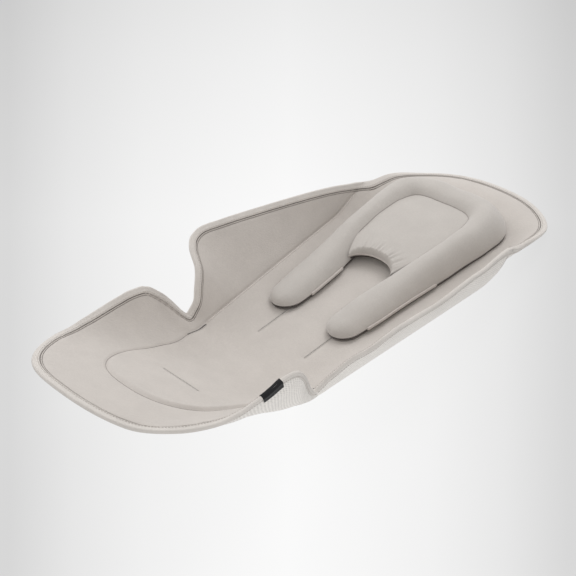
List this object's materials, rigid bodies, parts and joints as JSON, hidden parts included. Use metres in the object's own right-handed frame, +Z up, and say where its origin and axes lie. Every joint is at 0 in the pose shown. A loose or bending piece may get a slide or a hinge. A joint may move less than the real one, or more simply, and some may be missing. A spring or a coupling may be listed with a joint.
{
  "type": "bouncer seat newborn inlay",
  "caption": "Padded newborn inlay for a bouncer seat: flat back with two folding side wings, dished seat with strap slots, and a sliding horseshoe head pillow.",
  "frame": {"origin": "on the floor under the middle of the whole inlay, on its centre plane", "axes": "+Z up, +Y along the back towards the head end, -Y towards the feet, X across"},
  "size_m": [0.3528, 0.767, 0.1635],
  "materials": {
    "face_jersey": "brushed warm grey-beige jersey",
    "spacer_mesh": "off-white three-dimensional spacer mesh",
    "edge_tape": "woven edge tape",
    "foam": "open-cell foam",
    "wadding": "fibre wadding",
    "hook_and_loop": "hook-and-loop tape",
    "label_tape": "black woven label tape"
  },
  "bodies": {
    "back": {"back_face_panel": "face_jersey", "back_foam_core": "foam", "back_spacer_mesh": "spacer_mesh", "head_binding": "edge_tape", "shoulder_slot_binding_left": "edge_tape", "shoulder_slot_binding_right": "edge_tape", "loop_patch_left": "hook_and_loop", "loop_patch_right": "hook_and_loop"},
    "seat": {"seat_centre_panel": "face_jersey", "seat_border_panel": "face_jersey", "seat_foam_core": "foam", "seat_spacer_mesh": "spacer_mesh", "seat_binding": "edge_tape", "waist_slot_binding_left": "edge_tape", "waist_slot_binding_right": "edge_tape", "crotch_slot_binding": "edge_tape", "fold_label": "label_tape"},
    "wing_left": {"wing_left_face": "face_jersey", "wing_left_foam": "foam", "wing_left_mesh": "spacer_mesh", "wing_left_binding": "edge_tape"},
    "wing_right": {"wing_right_face": "face_jersey", "wing_right_foam": "foam", "wing_right_mesh": "spacer_mesh", "wing_right_binding": "edge_tape"},
    "pillow": {"bolster_cover": "face_jersey", "bolster_filling": "wadding", "head_pad_cover": "face_jersey", "head_pad_filling": "wadding", "pillow_base_panel": "edge_tape", "strap_lip_inner_left": "edge_tape", "strap_lip_outer_left": "edge_tape", "strap_lip_inner_right": "edge_tape", "strap_lip_outer_right": "edge_tape", "hook_patch_left": "hook_and_loop", "hook_patch_right": "hook_and_loop"}
  },
  "joints": [
    {"name": "seat_fold", "type": "hinge", "parent": "back", "child": "seat", "pos_m": [0, -0.1099, 0.0114], "axis": [-1, 0, 0], "range_deg": [-26, 25]},
    {"name": "wing_left_fold", "type": "hinge", "parent": "back", "child": "wing_left", "pos_m": [-0.1015, -0.1099, 0.022], "axis": [-0.0975, 0.9952, 0], "range_deg": [-50, 25]},
    {"name": "wing_right_fold", "type": "hinge", "parent": "back", "child": "wing_right", "pos_m": [0.1015, -0.1099, 0.022], "axis": [0.0975, 0.9952, 0], "range_deg": [-25, 50]},
    {"name": "pillow_slide", "type": "slide", "parent": "back", "child": "pillow", "axis": [0, 1, 0], "range_m": [-0.025, 0.02]}
  ]
}
